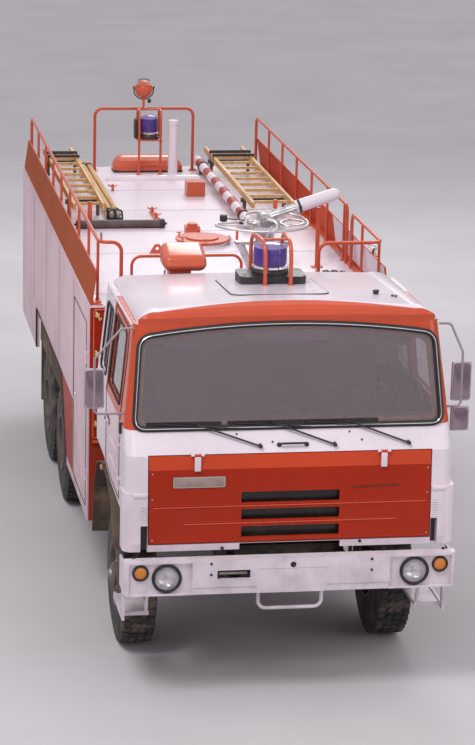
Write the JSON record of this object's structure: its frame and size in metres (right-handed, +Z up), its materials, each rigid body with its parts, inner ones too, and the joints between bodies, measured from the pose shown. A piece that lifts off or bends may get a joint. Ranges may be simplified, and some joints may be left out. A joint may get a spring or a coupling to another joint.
{
  "type": "water tanker fire truck",
  "caption": "Three-axle water tanker fire truck with a tilting cab, roof monitor, deck rails, ladders, lockers and a rear pump bay.",
  "frame": {"origin": "on the ground under the middle of the bounding box, which the longer right mirror arm moves 55 mm to the right of the truck's middle plane", "axes": "+X to the truck's left, +Y to its rear, +Z up"},
  "size_m": [2.92, 8.6, 3.395],
  "materials": {
    "white_paint": "glossy",
    "red_paint": "glossy",
    "chassis_paint": "satin",
    "rim_paint": "satin",
    "glass": "glossy",
    "tyre": "matte",
    "black_plastic": "matte",
    "tank": "matte",
    "bright_metal": "satin",
    "steel": "satin",
    "cast": "matte",
    "wood": "satin",
    "seat_cover": "matte",
    "lamp_clear": "glossy",
    "lamp_amber": "glossy",
    "lamp_blue": "glossy"
  },
  "bodies": {
    "chassis": {"chassis_tube": "chassis_paint", "suspension": "chassis_paint", "frame_rails": "chassis_paint", "engine_block": "cast", "chassis_tanks": "chassis_paint", "front_bumper": "white_paint", "headlamps": "lamp_clear", "marker_lamps": "lamp_amber", "mudguards": "black_plastic", "body_shell": "white_paint", "spare_tyre": "tyre", "water_tank": "tank", "deck": "white_paint", "side_boards": "red_paint", "deck_rails": "red_paint", "search_lamp": "red_paint", "rear_beacon": "lamp_blue", "ladders": "wood", "striped_pole": "white_paint", "suction_pipe": "steel", "deck_fittings": "red_paint", "intake_snorkel": "red_paint", "monitor_base": "steel"},
    "cab": {"cab_shell": "white_paint", "cab_floor": "chassis_paint", "cab_roof": "white_paint", "cab_glass": "glass", "dashboard": "black_plastic", "seats": "seat_cover", "mirrors": "black_plastic", "wipers": "black_plastic", "roof_beacon": "lamp_blue", "beacon_base": "black_plastic", "beacon_guard": "red_paint"},
    "door_left": {"door_left": "white_paint", "door_glass_left": "glass"},
    "door_right": {"door_right": "white_paint", "door_glass_right": "glass"},
    "front_flap": {"front_flap": "red_paint"},
    "knuckle_left": {"knuckle_left": "cast"},
    "knuckle_right": {"knuckle_right": "cast"},
    "locker_left": {"locker_door_left": "white_paint"},
    "locker_right": {"locker_door_right": "white_paint"},
    "pump_door": {"pump_door": "white_paint"},
    "manhole_lid": {"manhole_lid": "red_paint"},
    "rear_hatch": {"rear_hatch": "red_paint"},
    "monitor_head": {"monitor_head": "steel"},
    "monitor_barrel": {"monitor_barrel": "white_paint"},
    "wheel_front_left": {"tyre_front_left": "tyre", "rim_front_left": "rim_paint"},
    "wheel_front_right": {"tyre_front_right": "tyre", "rim_front_right": "rim_paint"},
    "wheel_middle_left": {"tyre_middle_left": "tyre", "rim_middle_left": "rim_paint"},
    "wheel_middle_right": {"tyre_middle_right": "tyre", "rim_middle_right": "rim_paint"},
    "wheel_rear_left": {"tyre_rear_left": "tyre", "rim_rear_left": "rim_paint"},
    "wheel_rear_right": {"tyre_rear_right": "tyre", "rim_rear_right": "rim_paint"}
  },
  "joints": [
    {"name": "cab_tilt", "type": "hinge", "parent": "chassis", "child": "cab", "pos_m": [0.055, -4.1, 1.15], "axis": [1, 0, 0], "range_deg": [0, 45]},
    {"name": "door_left_swing", "type": "hinge", "parent": "cab", "child": "door_left", "pos_m": [1.2943, -3.7635, 2], "axis": [0, 0, -1], "range_deg": [0, 70]},
    {"name": "door_right_swing", "type": "hinge", "parent": "cab", "child": "door_right", "pos_m": [-1.1843, -3.7635, 2], "axis": [0, 0, 1], "range_deg": [0, 70]},
    {"name": "flap_lift", "type": "hinge", "parent": "cab", "child": "front_flap", "pos_m": [0.055, -4.1593, 1.8775], "axis": [-1, 0, 0], "range_deg": [0, 70]},
    {"name": "steer_left", "type": "hinge", "parent": "chassis", "child": "knuckle_left", "pos_m": [0.925, -2.9, 0.5425], "axis": [0, 0, 1], "range_deg": [-30, 30]},
    {"name": "steer_right", "type": "hinge", "parent": "chassis", "child": "knuckle_right", "pos_m": [-0.815, -2.9, 0.5425], "axis": [0, 0, 1], "range_deg": [-30, 30]},
    {"name": "spin_front_left", "type": "hinge", "parent": "knuckle_left", "child": "wheel_front_left", "pos_m": [1.065, -2.9, 0.5425], "axis": [1, 0, 0], "continuous": true},
    {"name": "spin_front_right", "type": "hinge", "parent": "knuckle_right", "child": "wheel_front_right", "pos_m": [-0.955, -2.9, 0.5425], "axis": [1, 0, 0], "continuous": true},
    {"name": "spin_middle_left", "type": "hinge", "parent": "chassis", "child": "wheel_middle_left", "pos_m": [0.942, 0.8, 0.5425], "axis": [1, 0, 0], "continuous": true},
    {"name": "spin_middle_right", "type": "hinge", "parent": "chassis", "child": "wheel_middle_right", "pos_m": [-0.832, 0.8, 0.5425], "axis": [1, 0, 0], "continuous": true},
    {"name": "spin_rear_left", "type": "hinge", "parent": "chassis", "child": "wheel_rear_left", "pos_m": [0.942, 2.12, 0.5425], "axis": [1, 0, 0], "continuous": true},
    {"name": "spin_rear_right", "type": "hinge", "parent": "chassis", "child": "wheel_rear_right", "pos_m": [-0.832, 2.12, 0.5425], "axis": [1, 0, 0], "continuous": true},
    {"name": "locker_left_swing", "type": "hinge", "parent": "chassis", "child": "locker_left", "pos_m": [1.3143, -1.7165, 1.5], "axis": [0, 0, -1], "range_deg": [0, 95]},
    {"name": "locker_right_swing", "type": "hinge", "parent": "chassis", "child": "locker_right", "pos_m": [-1.2043, -1.7165, 1.5], "axis": [0, 0, 1], "range_deg": [0, 95]},
    {"name": "pump_door_lift", "type": "hinge", "parent": "chassis", "child": "pump_door", "pos_m": [0.055, 4.2793, 2.3265], "axis": [1, 0, 0], "range_deg": [0, 85]},
    {"name": "manhole_lift", "type": "hinge", "parent": "chassis", "child": "manhole_lid", "pos_m": [0.34, 0.5, 2.5], "axis": [0, 1, 0], "range_deg": [0, 90]},
    {"name": "hatch_lift", "type": "hinge", "parent": "chassis", "child": "rear_hatch", "pos_m": [0.055, 4.2093, 2.4663], "axis": [-1, 0, 0], "range_deg": [0, 85]},
    {"name": "monitor_turn", "type": "hinge", "parent": "chassis", "child": "monitor_head", "pos_m": [0.455, -0.53, 2.72], "axis": [0, 0, 1], "range_deg": [-170, 170]},
    {"name": "monitor_rise", "type": "hinge", "parent": "monitor_head", "child": "monitor_barrel", "pos_m": [0.455, -0.53, 2.9], "axis": [0, -1, 0], "range_deg": [0, 50]}
  ],
  "couplings": [
    {"joint": "steer_right", "follows": "steer_left", "ratio": 1}
  ]
}
